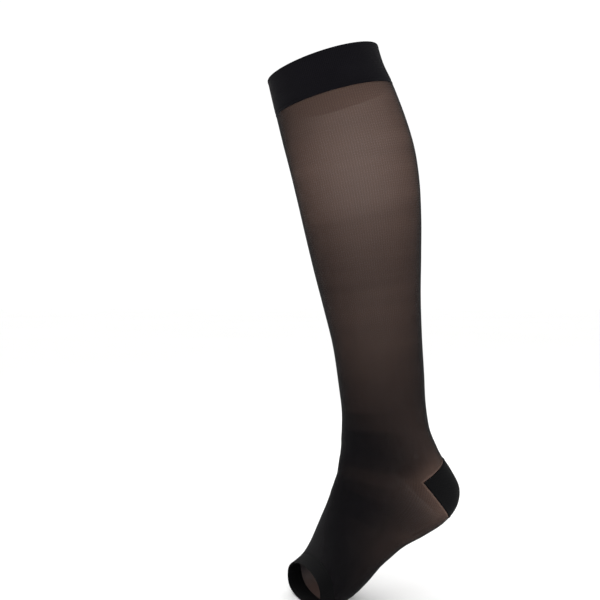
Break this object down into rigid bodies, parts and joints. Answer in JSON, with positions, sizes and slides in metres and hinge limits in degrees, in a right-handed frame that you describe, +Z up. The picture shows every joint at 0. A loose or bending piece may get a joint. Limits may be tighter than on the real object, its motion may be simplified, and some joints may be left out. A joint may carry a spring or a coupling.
{
  "type": "compression stocking",
  "caption": "Knee-high sheer compression stocking with a doubled top band, a reinforced heel and an open toe, in its worn hollow form on a raised foot.",
  "frame": {"origin": "centre of the top opening, in the plane of the band's upper edge", "axes": "+Z up as worn, -Y the way the toes point, +X the outer side of a left leg; the leg leans, so the top opening faces up and a little forward"},
  "size_m": [0.1062, 0.1855, 0.4975],
  "materials": {
    "band_knit": "doubled elastic welt, dense fine rib, matt black",
    "sheer_knit": "sheer fine knit, half see-through over the calf and denser to the foot",
    "heel_knit": "reinforced plain knit, opaque, matt black",
    "toe_knit": "dense knitted hem, opaque, matt black"
  },
  "bodies": {
    "root": {"top_band": "band_knit", "calf": "sheer_knit", "ankle": "sheer_knit", "foot": "sheer_knit", "heel": "heel_knit", "toe_band": "toe_knit"}
  },
  "joints": []
}
